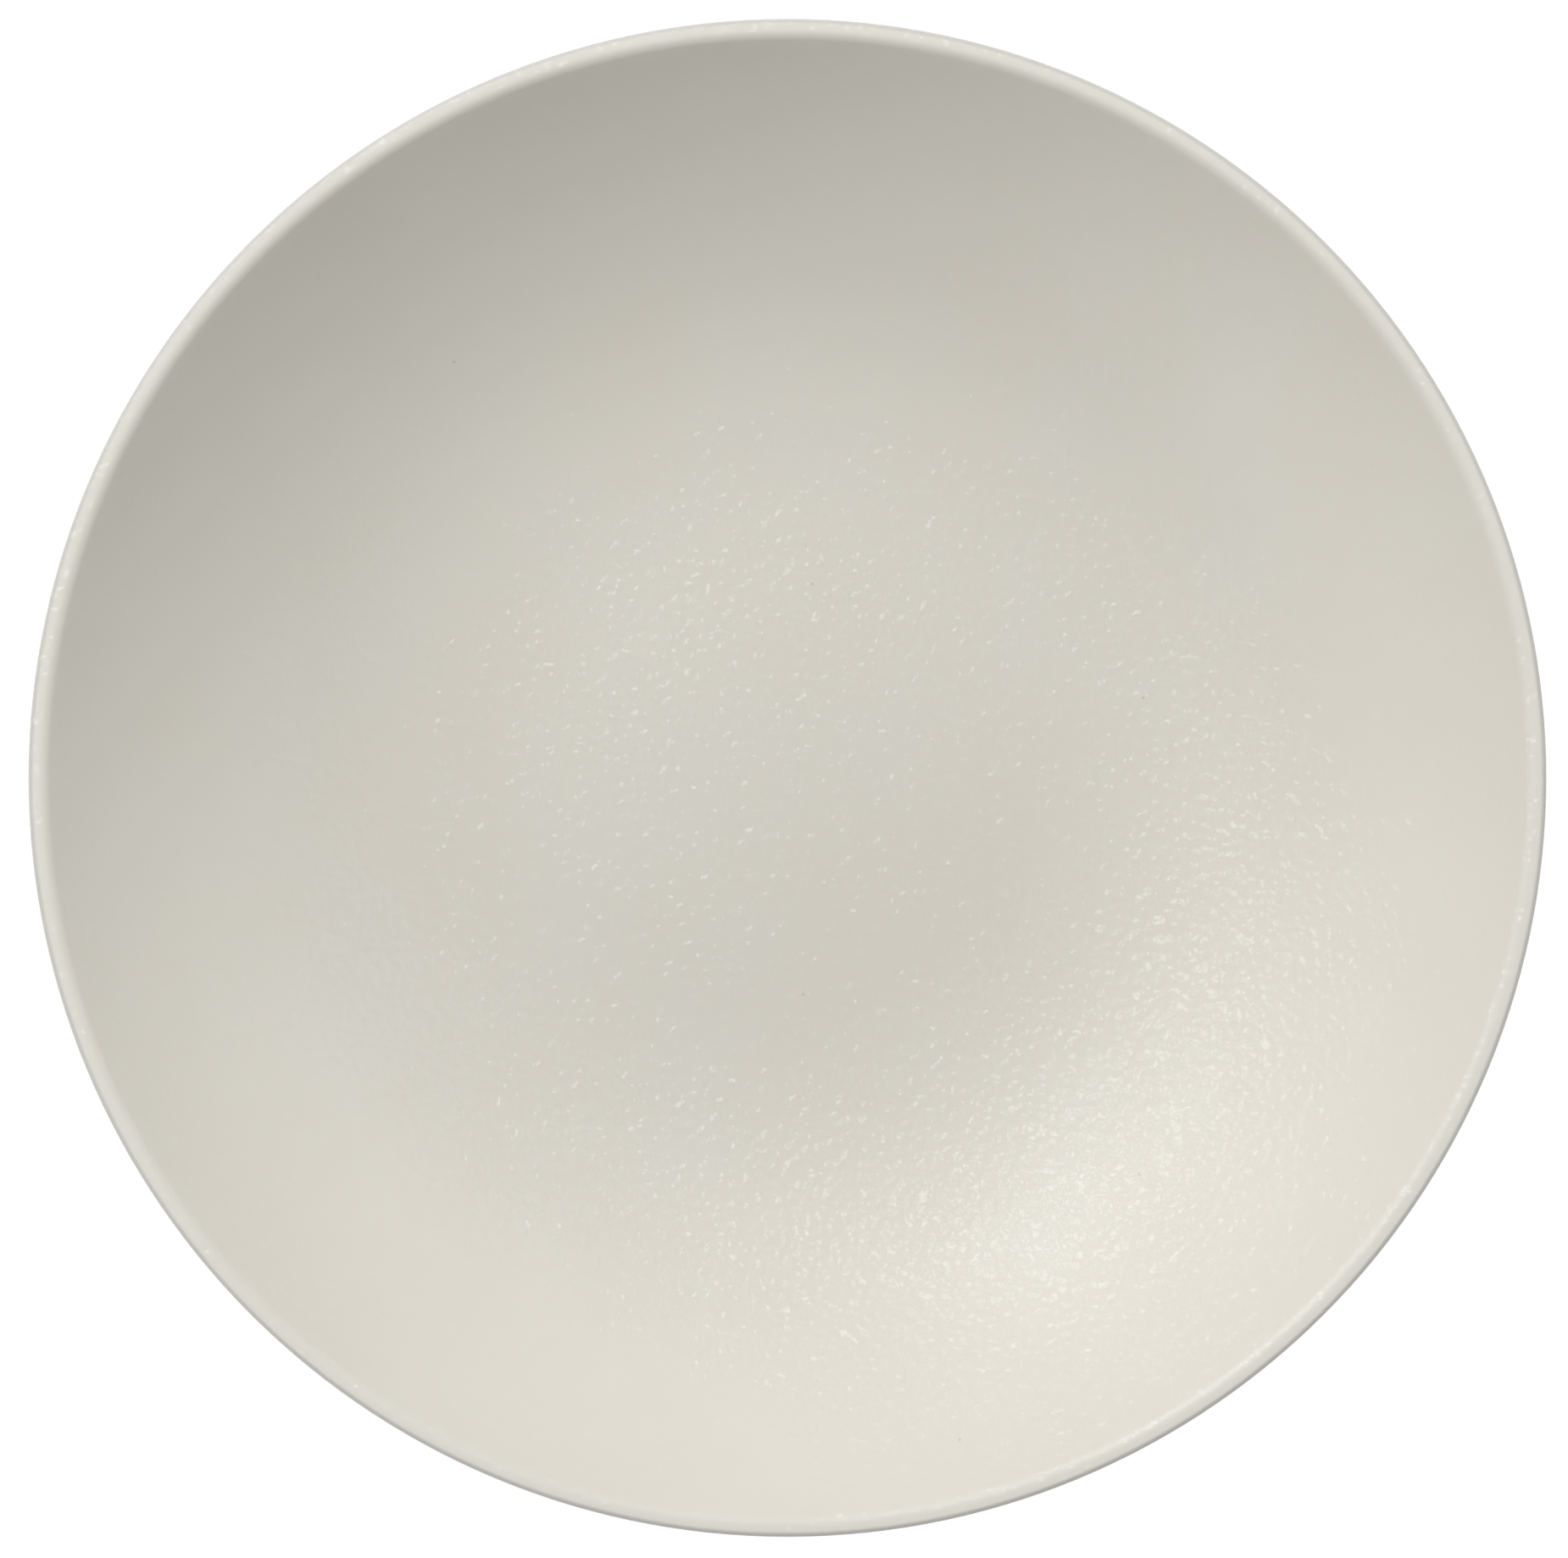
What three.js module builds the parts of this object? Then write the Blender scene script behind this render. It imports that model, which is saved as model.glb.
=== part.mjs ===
// Deep coupe plate: a fired porcelain body under a coat of matt glaze.
// Millimetres and degrees, +Z up, origin on the table at the middle of the foot ring.
// The glaze leaves the foot ring bare, so it lies in two coats: one over the well, the lip
// and the outside, and one inside the foot ring, under the base.
import * as THREE from "three";

// Overall sizes of the finished plate, glaze included
const RIM_DIAMETER = 280;
const PLATE_HEIGHT = 50;

// Well: a barely raised crown, a shallow valley round it and a wall that climbs to the lip.
// A reach is the length that a curve keeps close to its end's direction.
const VALLEY_DIAMETER = 104;
const CROWN_RISE = 1.5;
const CROWN_REACH = 28;
const VALLEY_REACH = 13;
const KNUCKLE_REACH = 34;
const WALL_REACH = 40;
const RIM_ANGLE = 47;

// Lip: a wide round on the inside, a narrow level top and a tight round on the outside
const LIP_INNER_ROUND = 2.8;
const LIP_LEVEL = 1;
const LIP_OUTER_ROUND = 1;

// Thicknesses: the wall tapers from the floor to the lip. The glaze keeps a hair off the clay,
// so that their faces never cross.
const FLOOR_THICKNESS = 6.5;
const GLAZE_THICKNESS = 0.35;
const BOND_GAP = 0.01;

// Foot ring
const FOOT_DIAMETER = 140;
const FOOT_WIDTH = 6.5;
const FOOT_FILLET = 2.4;
const FOOT_ROUND = 1;
const BARE_BAND = 0.6;
const RECESS_DEPTH = 3.5;
const RECESS_FILLET = 1.2;

// Steps that the round stretches are cut into
const TURN_STEPS = 64;
const CROWN_STEPS = 4;
const WALL_STEPS = 9;
const LIP_INNER_STEPS = 3;
const LIP_OUTER_STEPS = 5;
const FILLET_STEPS = 3;
const ROUND_STEPS = 2;

// Places worked out from the sizes, in the half section: x is the radius, y the height
const valleyRadius = VALLEY_DIAMETER / 2;
const valleyHeight = RECESS_DEPTH + FLOOR_THICKNESS;
const footOuter = FOOT_DIAMETER / 2;
const footInner = footOuter - FOOT_WIDTH;
const glazeLine = FOOT_ROUND + BARE_BAND;
const rimAngle = THREE.MathUtils.degToRad(RIM_ANGLE);
const rimDirection = point(Math.cos(rimAngle), Math.sin(rimAngle));
const lipOuterCentre = point(RIM_DIAMETER / 2 - LIP_OUTER_ROUND, PLATE_HEIGHT - LIP_OUTER_ROUND);
const lipInnerCentre = point(lipOuterCentre.x - LIP_LEVEL, PLATE_HEIGHT - LIP_INNER_ROUND);
const betweenCentres = lipOuterCentre.clone().sub(lipInnerCentre).dot(rightOf(rimDirection));
const lipThickness = LIP_INNER_ROUND + betweenCentres + LIP_OUTER_ROUND;

function point(radius, height) {
  return new THREE.Vector2(radius, height);
}

// The right-hand side of a direction, which is where the clay lies along every skin below
function rightOf(direction) {
  return point(direction.y, -direction.x).normalize();
}

// One line from several, without the points that two of them share
function joinLines(...lines) {
  const sharedDistance = 1e-6;
  const joined = [];
  for (const next of lines.flat()) {
    const last = joined.at(-1);
    if (!last || last.distanceTo(next) > sharedDistance) joined.push(next);
  }
  return joined;
}

// A line moved into the clay by a depth, with its ends on the axis kept there
function sinkLine(line, depth) {
  return line.map((here, i) => {
    const before = line[Math.max(i - 1, 0)];
    const after = line[Math.min(i + 1, line.length - 1)];
    const direction = after.clone().sub(before);
    if (here.x === 0) direction.y = 0;
    return here.clone().addScaledVector(rightOf(direction), depth);
  });
}

// The point of a line that climbs outwards, at a radius
function pointAtRadius(line, radius) {
  const after = line.findIndex((p) => p.x >= radius);
  const [a, b] = [line[after - 1], line[after]];
  return a.clone().lerp(b, (radius - a.x) / (b.x - a.x));
}

// Crown of the well, level at the middle and again in the valley
function crownLine() {
  const crownHeight = valleyHeight + CROWN_RISE;
  const crown = new THREE.CubicBezierCurve(
    point(0, crownHeight),
    point(CROWN_REACH, crownHeight),
    point(valleyRadius - VALLEY_REACH, valleyHeight),
    point(valleyRadius, valleyHeight),
  );
  return crown.getPoints(CROWN_STEPS);
}

// Inside of the wall, from the valley to where the lip's inner round begins
function wallCurve() {
  const wallEnd = lipInnerCentre.clone().addScaledVector(rightOf(rimDirection), -LIP_INNER_ROUND);
  return new THREE.CubicBezierCurve(
    point(valleyRadius, valleyHeight),
    point(valleyRadius + KNUCKLE_REACH, valleyHeight),
    wallEnd.clone().addScaledVector(rimDirection, -WALL_REACH),
    wallEnd,
  );
}

// Part of a circle, drawn clockwise
function roundLine(centre, radius, startAngle, endAngle, steps) {
  const { x, y } = centre;
  return new THREE.EllipseCurve(x, y, radius, radius, startAngle, endAngle, true).getPoints(steps);
}

// Lip from the inside over the level top to the outside
function lipLine() {
  const up = Math.PI / 2;
  return joinLines(
    roundLine(lipInnerCentre, LIP_INNER_ROUND, rimAngle + up, up, LIP_INNER_STEPS),
    roundLine(lipOuterCentre, LIP_OUTER_ROUND, up, rimAngle - up, LIP_OUTER_STEPS),
  );
}

// Underside of the floor and the wall from the axis out to the lip, as if there were no foot
function undersideLine(wall) {
  const line = [point(0, RECESS_DEPTH)];
  for (let i = 0; i <= WALL_STEPS; i++) {
    const along = i / WALL_STEPS;
    const thickness = THREE.MathUtils.lerp(FLOOR_THICKNESS, lipThickness, along);
    const outwards = rightOf(wall.getTangent(along));
    line.push(wall.getPoint(along).addScaledVector(outwards, thickness));
  }
  return line;
}

// Glazed skin from the middle of the well over the lip and down to the foot's glaze line
function outerSkin(wall, underside) {
  const corner = pointAtRadius(underside, footOuter);
  const fillet = Math.min(FOOT_FILLET, corner.y - glazeLine);
  const filletTop = pointAtRadius(underside, footOuter + fillet);
  const filletFoot = point(footOuter, corner.y - fillet);
  const outside = underside.filter((p) => p.x > filletTop.x).reverse();
  return joinLines(
    crownLine(),
    wall.getPoints(WALL_STEPS),
    lipLine(),
    outside,
    new THREE.QuadraticBezierCurve(filletTop, corner, filletFoot).getPoints(FILLET_STEPS),
    [point(footOuter, glazeLine)],
  );
}

// Glazed skin inside the foot ring, from its glaze line to the middle of the recess
function recessSkin(underside) {
  const corner = pointAtRadius(underside, footInner);
  const fillet = Math.min(RECESS_FILLET, corner.y - glazeLine);
  const filletFoot = point(footInner, corner.y - fillet);
  const filletTop = pointAtRadius(underside, footInner - fillet);
  const ceiling = underside.filter((p) => p.x < filletTop.x).reverse();
  return joinLines(
    [point(footInner, glazeLine)],
    new THREE.QuadraticBezierCurve(filletFoot, corner, filletTop).getPoints(FILLET_STEPS),
    ceiling,
  );
}

// Bare foot below the two glaze lines: two rounded corners and the flat that stands on the table
function bareFootLine() {
  const down = -Math.PI / 2;
  const outer = point(footOuter - GLAZE_THICKNESS - FOOT_ROUND, FOOT_ROUND);
  const inner = point(footInner + GLAZE_THICKNESS + FOOT_ROUND, FOOT_ROUND);
  return joinLines(
    roundLine(outer, FOOT_ROUND, 0, down, ROUND_STEPS),
    roundLine(inner, FOOT_ROUND, down, 2 * down, ROUND_STEPS),
  );
}

// A half section turned about the axis into a closed solid that stands up along +Z.
// Sections run with their solid on the right; the turning wants it on the left.
function turnedPiece(name, section, finish) {
  const geometry = new THREE.LatheGeometry(section.toReversed(), TURN_STEPS).rotateX(Math.PI / 2);
  const piece = new THREE.Mesh(geometry, new THREE.MeshStandardMaterial(finish));
  piece.name = name;
  return piece;
}

const bareCeramic = { color: 0xe3dccd, roughness: 0.85, metalness: 0 };
const sandGlaze = { color: 0xdbd7cb, roughness: 0.45, metalness: 0 };

const wall = wallCurve();
const underside = undersideLine(wall);
const outerGlazed = outerSkin(wall, underside);
const recessGlazed = recessSkin(underside);
const outerClay = sinkLine(outerGlazed, GLAZE_THICKNESS);
const recessClay = sinkLine(recessGlazed, GLAZE_THICKNESS);
const outerGlazeInside = sinkLine(outerGlazed, GLAZE_THICKNESS - BOND_GAP);
const recessGlazeInside = sinkLine(recessGlazed, GLAZE_THICKNESS - BOND_GAP);

const plate = new THREE.Group();
plate.add(
  turnedPiece("ceramic_body", joinLines(outerClay, bareFootLine(), recessClay), bareCeramic),
  turnedPiece("outer_glaze", joinLines(outerGlazed, outerGlazeInside.toReversed()), sandGlaze),
  turnedPiece("recess_glaze", joinLines(recessGlazeInside.toReversed(), recessGlazed), sandGlaze),
);

export default plate;
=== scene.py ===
import math

import bmesh
import bpy
from bpy.props import FloatProperty, FloatVectorProperty, PointerProperty
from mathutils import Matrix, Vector
from mathutils.geometry import interpolate_bezier


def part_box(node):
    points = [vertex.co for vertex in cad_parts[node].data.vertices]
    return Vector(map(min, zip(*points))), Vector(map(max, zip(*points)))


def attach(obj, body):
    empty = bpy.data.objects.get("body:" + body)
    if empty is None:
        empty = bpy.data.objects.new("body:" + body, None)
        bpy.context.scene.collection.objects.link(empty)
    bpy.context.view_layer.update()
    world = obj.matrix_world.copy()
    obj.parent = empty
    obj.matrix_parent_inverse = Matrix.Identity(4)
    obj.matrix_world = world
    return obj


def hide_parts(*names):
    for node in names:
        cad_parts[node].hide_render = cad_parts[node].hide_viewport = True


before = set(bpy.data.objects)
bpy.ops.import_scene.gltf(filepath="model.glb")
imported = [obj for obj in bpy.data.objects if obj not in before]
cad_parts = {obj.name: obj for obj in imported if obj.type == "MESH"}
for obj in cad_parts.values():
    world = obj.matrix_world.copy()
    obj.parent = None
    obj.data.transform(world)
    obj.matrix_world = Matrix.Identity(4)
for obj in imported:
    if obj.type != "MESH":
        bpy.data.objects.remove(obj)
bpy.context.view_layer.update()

bl_info = {
    "name": "Deep Coupe Plate",
    "version": (1, 0, 0),
    "blender": (4, 5, 0),
    "location": "View3D > Sidebar > Plate",
    "description": "Builds a glazed deep coupe plate piece by piece, and a soft studio to see it in",
    "category": "Add Mesh",
}

outer_glaze_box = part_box("outer_glaze")

# Script units are metres; sizes are written in millimetres where that reads better
MM = 0.001

# How finely the section and the turn are cut
TURN_STEPS = 240
CROWN_POINTS = 20
WALL_POINTS = 40
LIP_POINTS = 9
FILLET_POINTS = 8
ROUND_POINTS = 5
GLAZE_EDGE_STEPS = 3
FLOOR_STEPS = 96
SAME_POINT = 1e-7

# Waves of the wiped glaze line round the foot: share of the whole waver, count and phase in radians
GLAZE_LINE_WAVES = ((0.5, 3, 0.4), (0.3, 7, 2.1), (0.2, 17, 1.0))

# Where the lighter ring of the glaze's tone is lightest and where the tone is back to the usual glaze, in
# shares of the rim's radius
LIGHTER_RING_AT, USUAL_AT = 0.53, 0.72

# Where the painted shade along the lip's outer edge starts and ends, in shares of the lip's outer round
# from the outer edge
EDGE_SHADE_STARTS, EDGE_SHADE_ENDS = 1.15, 0.6


def linear_colour(hex_colour):
    """Turns an sRGB hex colour such as "d9d6cb" into linear red, green and blue."""
    channels = [int(hex_colour[i:i + 2], 16) / 255 for i in (0, 2, 4)]
    return [c / 12.92 if c <= 0.04045 else ((c + 0.055) / 1.055) ** 2.4 for c in channels]


def length(name, description, default):
    """A length property in metres."""
    return FloatProperty(
        name=name,
        description=description,
        default=default,
        unit="LENGTH",
        subtype="DISTANCE",
        precision=5,
    )


def colour(name, description, hex_colour):
    """A colour property whose default is an sRGB hex colour."""
    return FloatVectorProperty(
        name=name,
        description=description,
        default=linear_colour(hex_colour),
        subtype="COLOR",
        min=0,
        max=1,
    )


def strength(name, description, default):
    """A property for how strong a light is."""
    return FloatProperty(name=name, description=description, default=default, min=0)


class PlateSizes(bpy.types.PropertyGroup):
    """Sizes of the finished plate, glaze included"""

    rim_diameter: length("Rim diameter", "Across the outside of the lip", 2 * outer_glaze_box[1].x)
    plate_height: length("Height", "From the table to the top of the lip", outer_glaze_box[1].z)
    valley_diameter: length("Valley diameter", "Across the lowest ring of the well", 104 * MM)
    crown_rise: length("Crown rise", "How far the middle of the well stands above the valley", 1.5 * MM)
    crown_reach: length("Crown reach", "How far the crown stays level at the middle", 28 * MM)
    valley_reach: length("Valley reach", "How far the crown stays level at the valley", 13 * MM)
    knuckle_reach: length("Knuckle reach", "How far the wall stays level at the valley", 34 * MM)
    wall_reach: length("Wall reach", "How far the wall keeps the rim's slope", 40 * MM)
    rim_angle: FloatProperty(
        name="Rim angle",
        description="Slope of the wall where it meets the lip",
        default=math.radians(47),
        unit="ROTATION",
        subtype="ANGLE",
    )
    lip_inner_round: length("Lip inner round", "Of the lip's inside", 2.8 * MM)
    lip_level: length("Lip level", "Width of the lip's level top", 1 * MM)
    lip_outer_round: length("Lip outer round", "Of the lip's outside", 1 * MM)
    floor_thickness: length("Floor thickness", "Of the well's floor", 6.5 * MM)
    glaze_thickness: length("Glaze thickness", "Of both coats of glaze", 0.35 * MM)
    foot_diameter: length("Foot diameter", "Across the outside of the foot ring", 140 * MM)
    foot_width: length("Foot width", "Of the foot ring's wall", 6.5 * MM)
    foot_fillet: length("Foot fillet", "Where the foot ring's outside meets the wall", 2.4 * MM)
    foot_round: length("Foot round", "Of the corners of the standing face", 1 * MM)
    recess_depth: length("Recess depth", "From the table to the base inside the foot ring", 3.5 * MM)
    recess_fillet: length("Recess fillet", "Where the foot ring's inside meets the base", 1.2 * MM)
    glaze_line: length("Glaze line", "Height on the foot ring where the glaze ends", outer_glaze_box[0].z)
    glaze_edge_round: length("Glaze edge round", "Of the glaze's edge at the glaze line", 0.13 * MM)
    glaze_line_waver: length("Glaze line waver", "How far the glaze line wanders up or down", 0.1 * MM)


class PlateColours(bpy.types.PropertyGroup):
    """Colours of the plate's finishes"""

    glaze: colour("Glaze", "Sand glaze at its usual thickness", "dfdcd3")
    # A lighter ring of tone partway up the well; the glaze is not drawn thicker there
    glaze_lighter_ring: colour("Thick glaze", "Where the glaze has gathered at the foot of the wall", "e2dfd6")
    # Lighter over the lip: partly glaze drawn thin, partly a painted highlight for the sheen of the lit lip
    thin_glaze_and_highlight: colour("Thin glaze", "Where the glaze has drawn thin over the lip", "ebe8e0")
    # Painted shade: a darker tone along the lip's outer edge
    edge_shade: colour("Glaze edge", "Where the glaze breaks at the lip's outer edge", "cfcdc8")
    drift: colour("Drift", "Tint of the glaze's drifts of tone", "fbfaf7")
    speck: colour("Speck", "Iron specks in the glaze", "cbc6b9")
    clay: colour("Clay", "Bare fired clay", "e6dfd1")
    clay_dark: colour("Dark clay", "Darker grains in the bare clay", "cfc5b3")
    scuff: colour("Scuff", "Table marks on the standing face", "b4aea3")


class PlateStudio(bpy.types.PropertyGroup):
    """Floor, lights and camera"""

    floor: colour("Floor", "Opal sheet of the light table, by the light that falls on it", "71706f")
    floor_light: colour("Floor light", "Light that comes through the opal sheet", "ffffff")
    floor_glow: strength("Floor glow", "How strongly the opal sheet is lit from below", 0.92)
    walls: colour("Walls", "Pale band all round on the walls", "ffffff")
    walls_glow: strength("Walls glow", "How strongly the pale band is lit", 0.91)
    view_width: length("View width", "Width of the picture at the plate's outline", 289.2 * MM)
    view_right: length("View right", "How far the plate stands right of the picture's middle", 0.62 * MM)
    view_up: length("View up", "How far the plate stands above the picture's middle", 0.22 * MM)
    lens: FloatProperty(
        name="Lens",
        description="Focal length in millimetres",
        default=150,
        unit="CAMERA",
        subtype="DISTANCE_CAMERA",
    )


def at(radius, height):
    """A point of the half section."""
    return Vector((radius, height))


def right_of(direction):
    """The right-hand side of a direction in the half section, where the clay lies along every skin."""
    return Vector((direction.y, -direction.x)).normalized()


def arc(centre, radius, start, end, count):
    """Points on a round stretch of the half section, between two angles."""
    angles = [start + (end - start) * i / (count - 1) for i in range(count)]
    return [centre + radius * Vector((math.cos(a), math.sin(a))) for a in angles]


def join_lines(*lines):
    """One line from several, without the points that two of them share."""
    joined = []
    for point in (p for line in lines for p in line):
        if not joined or (point - joined[-1]).length > SAME_POINT:
            joined.append(point)
    return joined


def sink_line(line, depth):
    """A line moved into the clay, with its ends on the axis kept there."""
    sunk = []
    for i, here in enumerate(line):
        direction = line[min(i + 1, len(line) - 1)] - line[max(i - 1, 0)]
        if here.x == 0:
            direction.y = 0
        sunk.append(here + depth * right_of(direction))
    return sunk


def point_at_radius(line, radius):
    """The point of a line that climbs outwards, at a radius."""
    inner, outer = next(pair for pair in zip(line, line[1:]) if pair[1].x >= radius)
    return inner.lerp(outer, (radius - inner.x) / (outer.x - inner.x))


def fillet_line(start, corner, end):
    """A soft corner between two points, as a curve drawn towards the corner."""
    pull = 2 / 3
    near_start, near_end = start.lerp(corner, pull), end.lerp(corner, pull)
    return interpolate_bezier(start, near_start, near_end, end, FILLET_POINTS)


class PlateSection:
    """Half section of the finished plate, worked out from its sizes: x is the radius, y the height."""

    def __init__(self, sizes):
        self.sizes = sizes
        self.valley = at(sizes.valley_diameter / 2, sizes.recess_depth + sizes.floor_thickness)
        self.foot_outer = sizes.foot_diameter / 2
        self.foot_inner = self.foot_outer - sizes.foot_width
        self.rim_direction = Vector((math.cos(sizes.rim_angle), math.sin(sizes.rim_angle)))
        inner, outer = sizes.lip_inner_round, sizes.lip_outer_round
        self.lip_outer = at(sizes.rim_diameter / 2 - outer, sizes.plate_height - outer)
        self.lip_inner = at(self.lip_outer.x - sizes.lip_level, sizes.plate_height - inner)
        between = (self.lip_outer - self.lip_inner).dot(right_of(self.rim_direction))
        self.lip_thickness = inner + between + outer
        self.wall = self.wall_line()
        self.underside = self.underside_line()

    def crown_line(self):
        """Crown of the well, level at the middle and again in the valley."""
        sizes, valley = self.sizes, self.valley
        crown = at(0, valley.y + sizes.crown_rise)
        near_crown = crown + at(sizes.crown_reach, 0)
        near_valley = valley - at(sizes.valley_reach, 0)
        return interpolate_bezier(crown, near_crown, near_valley, valley, CROWN_POINTS)

    def wall_line(self):
        """Inside of the wall, from the valley to where the lip's inner round begins."""
        sizes, valley = self.sizes, self.valley
        end = self.lip_inner - sizes.lip_inner_round * right_of(self.rim_direction)
        near_valley = valley + at(sizes.knuckle_reach, 0)
        near_end = end - sizes.wall_reach * self.rim_direction
        return interpolate_bezier(valley, near_valley, near_end, end, WALL_POINTS)

    def lip_line(self):
        """Lip from the inside over the level top to the outside."""
        sizes, up = self.sizes, math.pi / 2
        return join_lines(
            arc(self.lip_inner, sizes.lip_inner_round, sizes.rim_angle + up, up, LIP_POINTS),
            arc(self.lip_outer, sizes.lip_outer_round, up, sizes.rim_angle - up, LIP_POINTS),
        )

    def underside_line(self):
        """Underside of the floor and the tapering wall, from the axis to the lip."""
        sizes, wall = self.sizes, self.wall
        line = [at(0, sizes.recess_depth)]
        for i, here in enumerate(wall):
            along = i / (len(wall) - 1)
            thickness = (1 - along) * sizes.floor_thickness + along * self.lip_thickness
            direction = wall[min(i + 1, len(wall) - 1)] - wall[max(i - 1, 0)]
            if i == 0:
                direction = Vector((1, 0))
            if i == len(wall) - 1:
                direction = self.rim_direction
            line.append(here + thickness * right_of(direction))
        return line

    def outer_skin(self):
        """Glazed skin from the middle of the well over the lip and down to the glaze line."""
        sizes = self.sizes
        corner = point_at_radius(self.underside, self.foot_outer)
        fillet = min(sizes.foot_fillet, corner.y - sizes.glaze_line)
        top = point_at_radius(self.underside, self.foot_outer + fillet)
        outside = [p for p in reversed(self.underside) if p.x > top.x]
        return join_lines(
            self.crown_line(),
            self.wall,
            self.lip_line(),
            outside,
            fillet_line(top, corner, corner - at(0, fillet)),
            [at(self.foot_outer, sizes.glaze_line)],
        )

    def recess_skin(self):
        """Glazed skin inside the foot ring, from the glaze line to the middle of the recess."""
        sizes = self.sizes
        corner = point_at_radius(self.underside, self.foot_inner)
        fillet = min(sizes.recess_fillet, corner.y - sizes.glaze_line)
        top = point_at_radius(self.underside, self.foot_inner - fillet)
        ceiling = [p for p in reversed(self.underside) if p.x < top.x]
        return join_lines(
            [at(self.foot_inner, sizes.glaze_line)],
            fillet_line(corner - at(0, fillet), corner, top),
            ceiling,
        )

    def bare_foot(self):
        """Bare foot below the glaze lines: two rounded corners and the standing face."""
        sizes = self.sizes
        inset = sizes.glaze_thickness + sizes.foot_round
        outer = at(self.foot_outer - inset, sizes.foot_round)
        inner = at(self.foot_inner + inset, sizes.foot_round)
        down = -math.pi / 2
        return join_lines(
            arc(outer, sizes.foot_round, 0, down, ROUND_POINTS),
            arc(inner, sizes.foot_round, down, -math.pi, ROUND_POINTS),
        )


def turn(line):
    """Spins a line of the half section round the plate's axis into a surface with closed poles."""
    shape = bmesh.new()
    points = [shape.verts.new((p.x, 0, p.y)) for p in line]
    edges = [shape.edges.new(pair) for pair in zip(points, points[1:])]
    bmesh.ops.spin(
        shape,
        geom=points + edges,
        cent=(0, 0, 0),
        axis=(0, 0, 1),
        angle=math.tau,
        steps=TURN_STEPS,
        use_merge=True,
    )
    bmesh.ops.remove_doubles(shape, verts=shape.verts, dist=SAME_POINT)
    bmesh.ops.recalc_face_normals(shape, faces=shape.faces)
    return shape


def waver(angle):
    """How far the wiped glaze line wanders at an angle round the foot, from -1 to 1."""
    return sum(share * math.sin(count * angle + phase) for share, count, phase in GLAZE_LINE_WAVES)


def coat(line, sizes, up):
    """Turns a line into a coat of glaze on the clay, its edge at the glaze line rounded and wavering.

    up says whether the coat faces up at the axis."""
    shape = turn(line)
    pole = min(shape.faces, key=lambda face: face.calc_center_median().xy.length)
    if (pole.normal.z > 0) != up:
        bmesh.ops.reverse_faces(shape, faces=shape.faces)
    edge_ring = [edge for edge in shape.edges if edge.is_boundary]
    for point in {p for edge in edge_ring for p in edge.verts}:
        point.co.z += sizes.glaze_line_waver * waver(math.atan2(point.co.y, point.co.x))
    bmesh.ops.solidify(shape, geom=shape.faces[:], thickness=sizes.glaze_thickness)
    bmesh.ops.bevel(
        shape,
        geom=edge_ring,
        offset=sizes.glaze_edge_round,
        affect="EDGES",
        segments=GLAZE_EDGE_STEPS,
        profile=0.5,
        material=-1,
    )
    return shape


def place(name, shape, material, node):
    """Makes a finished shape a piece of the plate, in place of its plain solid."""
    for face in shape.faces:
        face.smooth = True
    mesh = bpy.data.meshes.new(name)
    shape.to_mesh(mesh)
    shape.free()
    mesh.materials.append(material)
    piece = bpy.data.objects.new(name, mesh)
    bpy.context.collection.objects.link(piece)
    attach(piece, "root")
    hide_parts(node)


def add_node(tree, kind, settings=None, values=None, links=None):
    """Adds a node with its settings, its sockets' values and the outputs that feed its sockets."""
    node = tree.nodes.new(kind)
    for name, value in (settings or {}).items():
        setattr(node, name, value)
    for socket, value in (values or {}).items():
        node.inputs[socket].default_value = value
    for socket, output in (links or {}).items():
        tree.links.new(output, node.inputs[socket])
    return node


def new_material(name):
    """An empty node material, with its tree and the socket that its surface shader feeds."""
    material = bpy.data.materials.new(name)
    material.use_nodes = True
    tree = material.node_tree
    tree.nodes.clear()
    return material, tree, tree.nodes.new("ShaderNodeOutputMaterial").inputs["Surface"]


def rgba(colour_value):
    """A colour as the four numbers of a colour socket."""
    return (*colour_value, 1)


# Places of a Mix node's colour sockets among its inputs and outputs
MIX_A, MIX_B, MIX_RESULT = 6, 7, 2


def glaze_tone_by_radius(tree, coords, sizes, colours):
    """The glaze's tone from the middle of the well to the lip's edge: a lighter ring partway up the well,
    lighter over the lip partly as thin glaze and partly as painted highlight, and painted shade along
    the outer edge.
    """
    rim = sizes.rim_diameter / 2
    plan = add_node(tree, "ShaderNodeVectorMath", {"operation": "MULTIPLY"}, {1: (1, 1, 0)}, {0: coords})
    radius = add_node(
        tree, "ShaderNodeVectorMath", {"operation": "LENGTH"}, links={0: plan.outputs["Vector"]}
    )
    share = add_node(
        tree, "ShaderNodeMath", {"operation": "DIVIDE"}, {1: rim}, {0: radius.outputs["Value"]}
    )
    radial_tone = add_node(tree, "ShaderNodeValToRGB", links={"Fac": share.outputs["Value"]})

    inner_width = sizes.lip_inner_round * math.sin(sizes.rim_angle)
    lip = (inner_width + sizes.lip_level + sizes.lip_outer_round) / rim
    outer_round = sizes.lip_outer_round / rim
    stops = (
        (0, colours.glaze),
        # A lighter ring of tone partway up the well
        (LIGHTER_RING_AT, colours.glaze_lighter_ring),
        (USUAL_AT, colours.glaze),
        (1 - lip, colours.glaze),
        # Lighter over the lip: partly thin glaze, partly painted highlight
        (1 - lip / 2, colours.thin_glaze_and_highlight),
        (1 - EDGE_SHADE_STARTS * outer_round, colours.thin_glaze_and_highlight),
        # Painted shade along the lip's outer edge
        (1 - EDGE_SHADE_ENDS * outer_round, colours.edge_shade),
    )
    ramp = radial_tone.color_ramp
    ramp.interpolation = "EASE"
    for position, _ in stops[1:-1]:
        ramp.elements.new(position)
    for element, (position, tone) in zip(ramp.elements, stops):
        element.position = position
        element.color = rgba(tone)
    return radial_tone.outputs["Color"]


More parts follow.
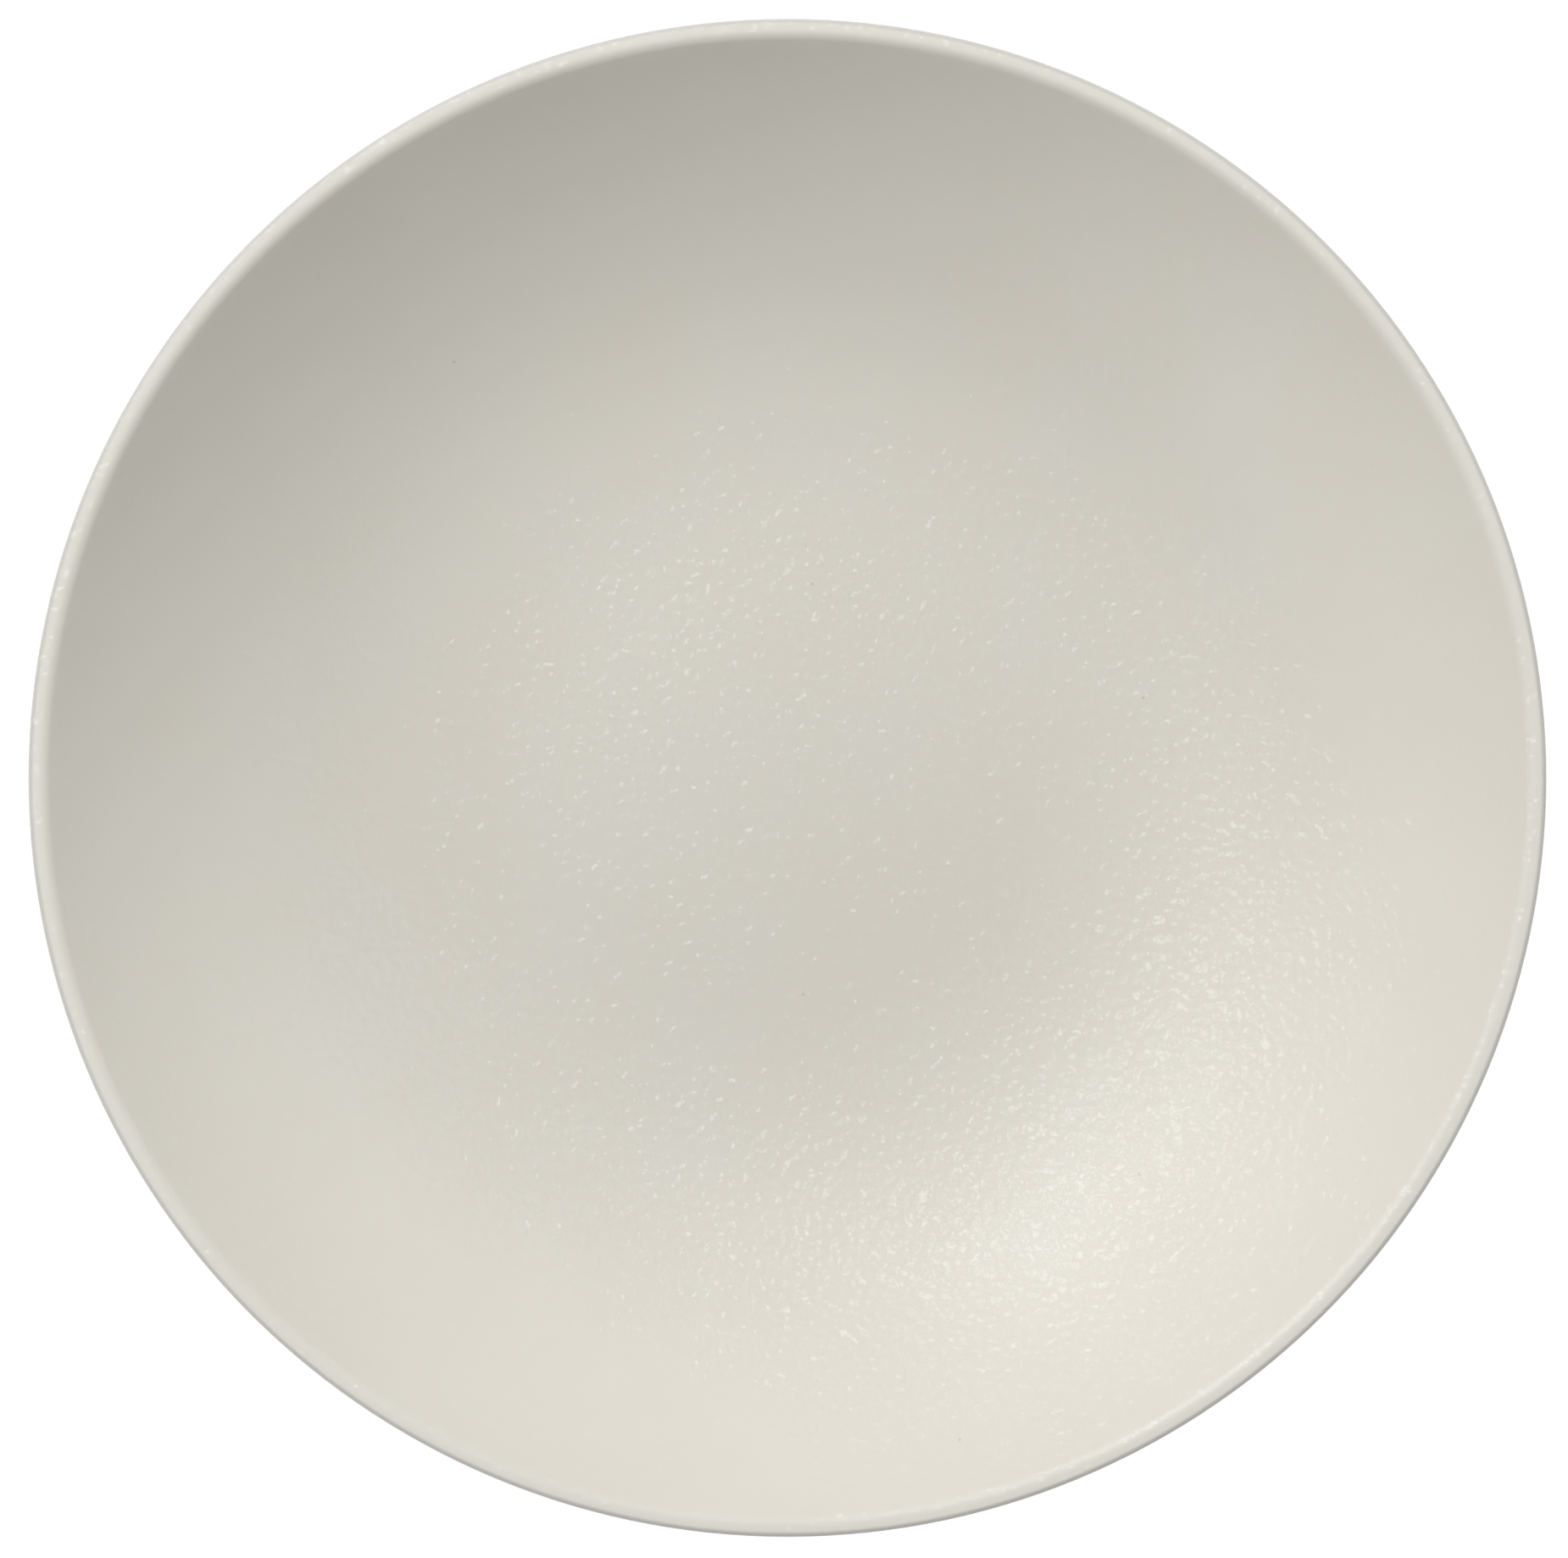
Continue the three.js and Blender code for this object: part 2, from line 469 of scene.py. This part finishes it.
def iron_specks(tree, coords):
    """Where a speck of iron shows in the glaze: 1 in its middle, 0 off it. Few cells of a net hold one."""
    speck_radius, cell_width, speck_share = 0.25 * MM, 32 * MM, 1 / 6
    fade_ends, fade_starts = 1.6 * speck_radius, 0.4 * speck_radius
    net = add_node(
        tree,
        "ShaderNodeTexVoronoi",
        {"voronoi_dimensions": "2D"},
        {"Scale": 1 / cell_width},
        {"Vector": coords},
    )
    near = add_node(
        tree,
        "ShaderNodeMapRange",
        {"interpolation_type": "SMOOTHSTEP"},
        {"From Min": fade_ends / cell_width, "From Max": fade_starts / cell_width},
        {"Value": net.outputs["Distance"]},
    )
    lot = add_node(tree, "ShaderNodeSeparateColor", links={"Color": net.outputs["Color"]})
    drawn = add_node(
        tree, "ShaderNodeMath", {"operation": "LESS_THAN"}, {1: speck_share}, {0: lot.outputs["Red"]}
    )
    speck = add_node(
        tree,
        "ShaderNodeMath",
        {"operation": "MULTIPLY"},
        links={0: near.outputs["Result"], 1: drawn.outputs["Value"]},
    )
    return speck.outputs["Value"]


def satin_sand_glaze(sizes, colours):
    """Satin-matt feldspar glaze, sprayed and fired. It gives a broad soft highlight that fine crystals
    break into glints, an even sand tone with a lighter ring partway up the well, a tone lighter over the
    lip, partly where it draws thin and partly as a painted highlight, painted shade along the lip's outer
    edge, and a few iron specks."""
    material, tree, surface = new_material("satin_sand_glaze")
    coords = add_node(tree, "ShaderNodeTexCoord").outputs["Object"]

    # Drifts of tone and of dullness, from the spraying
    drift_width = 30 * MM
    drift = add_node(
        tree, "ShaderNodeTexNoise", values={"Scale": 1 / drift_width, "Detail": 3}, links={"Vector": coords}
    )
    drifted = add_node(
        tree,
        "ShaderNodeMix",
        {"data_type": "RGBA", "blend_type": "MULTIPLY"},
        {MIX_B: rgba(colours.drift)},
        {"Factor": drift.outputs["Fac"], MIX_A: glaze_tone_by_radius(tree, coords, sizes, colours)},
    )
    dullness = add_node(
        tree,
        "ShaderNodeMapRange",
        values={"From Min": 0.3, "From Max": 0.7, "To Min": 0.48, "To Max": 0.54},
        links={"Value": drift.outputs["Fac"]},
    )
    tone = add_node(
        tree,
        "ShaderNodeMix",
        {"data_type": "RGBA"},
        {MIX_B: rgba(colours.speck)},
        {"Factor": iron_specks(tree, coords), MIX_A: drifted.outputs[MIX_RESULT]},
    )

    # Skin of fine crystals, drawn as coarse as they need to be to show: their tilted faces glint, and the
    # colour below hardly follows them
    crystal_spacing, glint_depth, peel_depth = 1.8 * MM, 0.95 * MM, 0.03 * MM
    crystals = add_node(
        tree,
        "ShaderNodeTexNoise",
        values={"Scale": 1 / crystal_spacing, "Detail": 0.7},
        links={"Vector": coords},
    )
    glints = add_node(
        tree,
        "ShaderNodeBump",
        values={"Strength": 1, "Distance": glint_depth},
        links={"Height": crystals.outputs["Fac"]},
    )
    peel = add_node(
        tree,
        "ShaderNodeBump",
        values={"Strength": 1, "Distance": peel_depth},
        links={"Height": crystals.outputs["Fac"]},
    )
    shader = add_node(
        tree,
        "ShaderNodeBsdfPrincipled",
        values={"IOR": 1.5, "Coat Weight": 0.2, "Coat Roughness": 0.2, "Coat IOR": 1.5},
        links={
            "Base Color": tone.outputs[MIX_RESULT],
            "Roughness": dullness.outputs["Result"],
            "Normal": peel.outputs["Normal"],
            "Coat Normal": glints.outputs["Normal"],
        },
    )
    tree.links.new(shader.outputs["BSDF"], surface)
    return material


def bare_clay(sizes, colours):
    """Vitrified white stoneware left bare and ground after firing: dry and matt, with a fine grain, faint
    rings from the grinding wheel and grey table marks on the standing face."""
    material, tree, surface = new_material("bare_clay")
    coords = add_node(tree, "ShaderNodeTexCoord").outputs["Object"]
    grain_width, grain_depth = 0.4 * MM, 0.03 * MM
    grain = add_node(
        tree, "ShaderNodeTexNoise", values={"Scale": 1 / grain_width, "Detail": 3}, links={"Vector": coords}
    )
    grained = add_node(
        tree,
        "ShaderNodeMix",
        {"data_type": "RGBA"},
        {MIX_A: rgba(colours.clay), MIX_B: rgba(colours.clay_dark)},
        {"Factor": grain.outputs["Fac"]},
    )

    # Table marks come in patches and end a little way up the foot's rounded corners
    patch_width, mark_height, most_marked = 9 * MM, 0.3 * sizes.foot_round, 0.8
    height = add_node(tree, "ShaderNodeSeparateXYZ", links={"Vector": coords})
    standing = add_node(
        tree,
        "ShaderNodeMapRange",
        {"interpolation_type": "SMOOTHSTEP"},
        {"From Min": mark_height, "From Max": 0, "To Max": most_marked},
        {"Value": height.outputs["Z"]},
    )
    patches = add_node(
        tree, "ShaderNodeTexNoise", values={"Scale": 1 / patch_width, "Detail": 4}, links={"Vector": coords}
    )
    scuffs = add_node(
        tree,
        "ShaderNodeMath",
        {"operation": "MULTIPLY"},
        links={0: standing.outputs["Result"], 1: patches.outputs["Fac"]},
    )
    tone = add_node(
        tree,
        "ShaderNodeMix",
        {"data_type": "RGBA"},
        {MIX_B: rgba(colours.scuff)},
        {"Factor": scuffs.outputs["Value"], MIX_A: grained.outputs[MIX_RESULT]},
    )

    # A ring wave's own spacing is a tenth of pi at a scale of 1
    ring_spacing, ring_depth = 0.6 * MM, 0.01 * MM
    rings = add_node(
        tree,
        "ShaderNodeTexWave",
        {"wave_type": "RINGS", "rings_direction": "Z"},
        {"Scale": 0.1 * math.pi / ring_spacing, "Distortion": 1.5, "Detail": 2},
        {"Vector": coords},
    )
    ground = add_node(
        tree,
        "ShaderNodeBump",
        values={"Strength": 1, "Distance": ring_depth},
        links={"Height": rings.outputs["Fac"]},
    )
    relief = add_node(
        tree,
        "ShaderNodeBump",
        values={"Strength": 1, "Distance": grain_depth},
        links={"Height": grain.outputs["Fac"], "Normal": ground.outputs["Normal"]},
    )
    shader = add_node(
        tree,
        "ShaderNodeBsdfPrincipled",
        values={"Roughness": 0.85, "IOR": 1.5},
        links={"Base Color": tone.outputs[MIX_RESULT], "Normal": relief.outputs["Normal"]},
    )
    tree.links.new(shader.outputs["BSDF"], surface)
    return material


def opal_sheet(studio):
    """Matt opal acrylic over a light table: pale and even, so that shadows on it stay faint."""
    material, tree, surface = new_material("opal_sheet")
    shader = add_node(
        tree,
        "ShaderNodeBsdfPrincipled",
        values={
            "Base Color": rgba(studio.floor),
            "Roughness": 0.9,
            "Emission Color": rgba(studio.floor_light),
            "Emission Strength": studio.floor_glow,
        },
    )
    tree.links.new(shader.outputs["BSDF"], surface)
    return material


def glaze_material(context):
    """The one glaze that both coats share."""
    made = bpy.data.materials.get("satin_sand_glaze")
    return made or satin_sand_glaze(context.scene.plate_sizes, context.scene.plate_colours)


class PLATE_OT_ceramic_body(bpy.types.Operator):
    """Turn the fired clay body with its bare foot ring"""

    bl_idname = "plate.ceramic_body"
    bl_label = "Ceramic Body"

    def execute(self, context):
        sizes = context.scene.plate_sizes
        section = PlateSection(sizes)
        line = join_lines(
            sink_line(section.outer_skin(), sizes.glaze_thickness),
            section.bare_foot(),
            sink_line(section.recess_skin(), sizes.glaze_thickness),
        )
        clay = bare_clay(sizes, context.scene.plate_colours)
        place("plate_ceramic_body", turn(line), clay, "ceramic_body")
        return {"FINISHED"}


class PLATE_OT_outer_glaze(bpy.types.Operator):
    """Lay the coat of glaze over the well, the lip and the outside"""

    bl_idname = "plate.outer_glaze"
    bl_label = "Outer Glaze"

    def execute(self, context):
        sizes = context.scene.plate_sizes
        shape = coat(PlateSection(sizes).outer_skin(), sizes, up=True)
        place("plate_outer_glaze", shape, glaze_material(context), "outer_glaze")
        return {"FINISHED"}


class PLATE_OT_recess_glaze(bpy.types.Operator):
    """Lay the coat of glaze inside the foot ring, under the base"""

    bl_idname = "plate.recess_glaze"
    bl_label = "Recess Glaze"

    def execute(self, context):
        sizes = context.scene.plate_sizes
        shape = coat(PlateSection(sizes).recess_skin(), sizes, up=False)
        place("plate_recess_glaze", shape, glaze_material(context), "recess_glaze")
        return {"FINISHED"}


# Soft lights: name, azimuth from the right and angle from straight up in degrees, diameter in metres
# and watts. All stand equally far from the plate.
SOFT_LIGHTS = (
    ("key", 128, 41, 1.6, 103),
    ("right_high_fill", 0, 45, 1.4, 21),
    ("right_fill", 45, 54, 1.4, 21),
    ("left_fill", 216, 63, 1.4, 18.4),
)
LIGHT_DISTANCE = 4.0

# Pale band on the walls, by the upward share of a direction: its middle, and how far above and below
# that it starts and ends fading
WALLS_MIDDLE = 0.3
FADE_STARTS, FADE_ENDS = 0.1, 0.25

# Radius of the floor in metres
FLOOR_RADIUS = 6


def soft_light(name, azimuth, from_up, diameter, power):
    """A round soft light that faces the plate."""
    a, z = math.radians(azimuth), math.radians(from_up)
    towards = Vector((math.sin(z) * math.cos(a), math.sin(z) * math.sin(a), math.cos(z)))
    data = bpy.data.lights.new(name, "AREA")
    data.shape = "DISK"
    data.size = diameter
    data.energy = power
    light = bpy.data.objects.new(name, data)
    light.location = LIGHT_DISTANCE * towards
    light.rotation_euler = towards.to_track_quat("Z", "Y").to_euler()
    bpy.context.collection.objects.link(light)


def pale_walls(studio):
    """A world with a pale band all round on its walls, above a dark horizon and under a dark ceiling."""
    world = bpy.data.worlds.new("pale_walls")
    world.use_nodes = True
    tree = world.node_tree
    direction = add_node(tree, "ShaderNodeTexCoord").outputs["Generated"]
    upward = add_node(tree, "ShaderNodeSeparateXYZ", links={"Vector": direction})
    above = add_node(
        tree, "ShaderNodeMath", {"operation": "SUBTRACT"}, {1: WALLS_MIDDLE}, {0: upward.outputs["Z"]}
    )
    away = add_node(tree, "ShaderNodeMath", {"operation": "ABSOLUTE"}, links={0: above.outputs["Value"]})
    glow = add_node(
        tree,
        "ShaderNodeMapRange",
        {"interpolation_type": "SMOOTHSTEP"},
        {"From Min": FADE_STARTS, "From Max": FADE_ENDS, "To Min": studio.walls_glow, "To Max": 0},
        {"Value": away.outputs["Value"]},
    )
    background = tree.nodes["Background"].inputs
    background["Color"].default_value = rgba(studio.walls)
    tree.links.new(glow.outputs["Result"], background["Strength"])
    return world


def studio_floor(studio):
    """A wide round sheet that the plate stands on."""
    shape = bmesh.new()
    bmesh.ops.create_circle(shape, cap_ends=True, segments=FLOOR_STEPS, radius=FLOOR_RADIUS)
    mesh = bpy.data.meshes.new("studio_floor")
    shape.to_mesh(mesh)
    shape.free()
    mesh.materials.append(opal_sheet(studio))
    floor = bpy.data.objects.new("studio_floor", mesh)
    bpy.context.collection.objects.link(floor)


def overhead_camera(studio, sizes):
    """A camera that looks straight down on the plate, from where its outline has the wanted width."""
    data = bpy.data.cameras.new("camera")
    data.lens = studio.lens
    camera = bpy.data.objects.new("camera", data)
    outline_height = sizes.plate_height - sizes.lip_outer_round
    distance = studio.view_width * data.lens / data.sensor_width
    camera.location = (-studio.view_right, -studio.view_up, outline_height + distance)
    bpy.context.collection.objects.link(camera)
    return camera


class PLATE_OT_studio(bpy.types.Operator):
    """Set out the pale floor, the soft lights and the camera above the plate"""

    bl_idname = "plate.studio"
    bl_label = "Studio"

    def execute(self, context):
        scene = context.scene
        studio_floor(scene.plate_studio)
        for light in SOFT_LIGHTS:
            soft_light(*light)
        scene.world = pale_walls(scene.plate_studio)
        scene.view_settings.view_transform = "Standard"
        scene.camera = overhead_camera(scene.plate_studio, scene.plate_sizes)
        return {"FINISHED"}


class PLATE_PT_panel(bpy.types.Panel):
    """Sizes and colours of the plate, and the pieces to build"""

    bl_label = "Deep Coupe Plate"
    bl_idname = "PLATE_PT_panel"
    bl_space_type = "VIEW_3D"
    bl_region_type = "UI"
    bl_category = "Plate"

    def draw(self, context):
        scene, layout = context.scene, self.layout
        for operator in OPERATORS:
            layout.operator(operator.bl_idname)
        for title, group in GROUPS.items():
            layout.label(text=group.bl_rna.description)
            for name in group.__annotations__:
                layout.prop(getattr(scene, title), name)


OPERATORS = (PLATE_OT_ceramic_body, PLATE_OT_outer_glaze, PLATE_OT_recess_glaze, PLATE_OT_studio)
GROUPS = {"plate_sizes": PlateSizes, "plate_colours": PlateColours, "plate_studio": PlateStudio}
CLASSES = (*GROUPS.values(), *OPERATORS, PLATE_PT_panel)


def register():
    """Makes the sizes, colours, operators and panel known to Blender."""
    for each in CLASSES:
        bpy.utils.register_class(each)
    for name, group in GROUPS.items():
        setattr(bpy.types.Scene, name, PointerProperty(type=group))


def unregister():
    """Takes back what register made known."""
    for name in GROUPS:
        delattr(bpy.types.Scene, name)
    for each in reversed(CLASSES):
        bpy.utils.unregister_class(each)


def main():
    """Builds the plate and its studio."""
    register()
    bpy.ops.plate.ceramic_body()
    bpy.ops.plate.outer_glaze()
    bpy.ops.plate.recess_glaze()
    bpy.ops.plate.studio()


if __name__ == "__main__":
    main()
